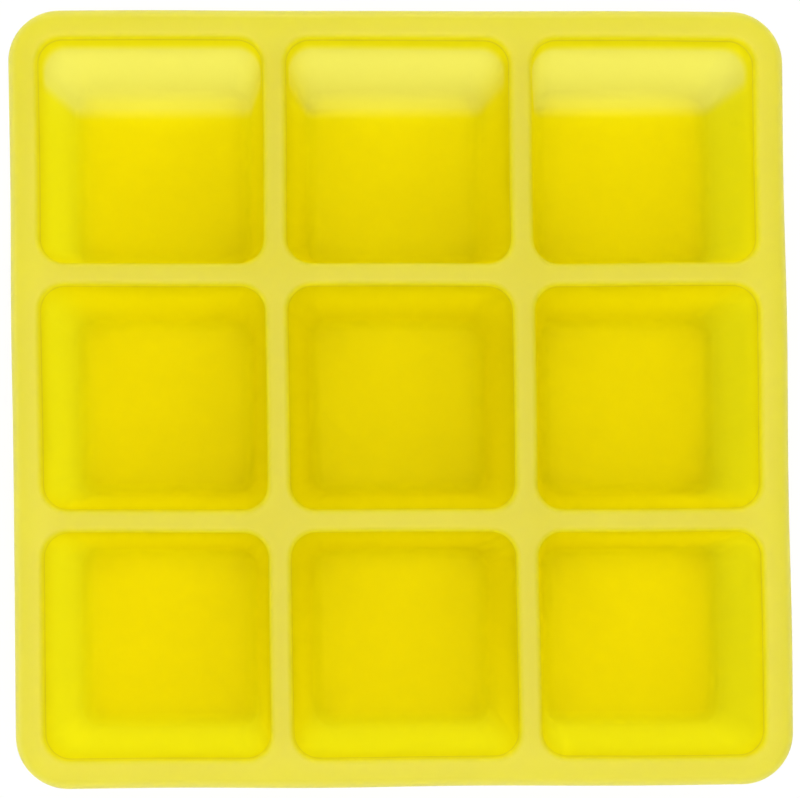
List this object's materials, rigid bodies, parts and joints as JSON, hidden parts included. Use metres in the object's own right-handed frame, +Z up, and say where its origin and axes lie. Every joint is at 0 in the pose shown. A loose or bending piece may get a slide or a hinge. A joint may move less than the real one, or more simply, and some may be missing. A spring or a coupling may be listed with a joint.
{
  "type": "baby food freezer tray",
  "caption": "Soft square freezing tray with square tapered wells under a flat rounded frame; a frozen portion is pushed out from below.",
  "frame": {"origin": "under the middle of the tray, on the surface that the wells stand on", "axes": "+Z up through the wells' mouths; X and Y along the tray's two square sides, -Y is the front"},
  "size_m": [0.165, 0.165, 0.037],
  "materials": {
    "frame": "matt silicone, pale yellow",
    "well": "smooth silicone, deep yellow"
  },
  "bodies": {
    "root": {"rim": "frame", "divider_grid": "frame", "well_back_left": "well", "well_back_mid": "well", "well_back_right": "well", "well_mid_left": "well", "well_centre": "well", "well_mid_right": "well", "well_front_left": "well", "well_front_mid": "well", "well_front_right": "well"}
  },
  "joints": []
}
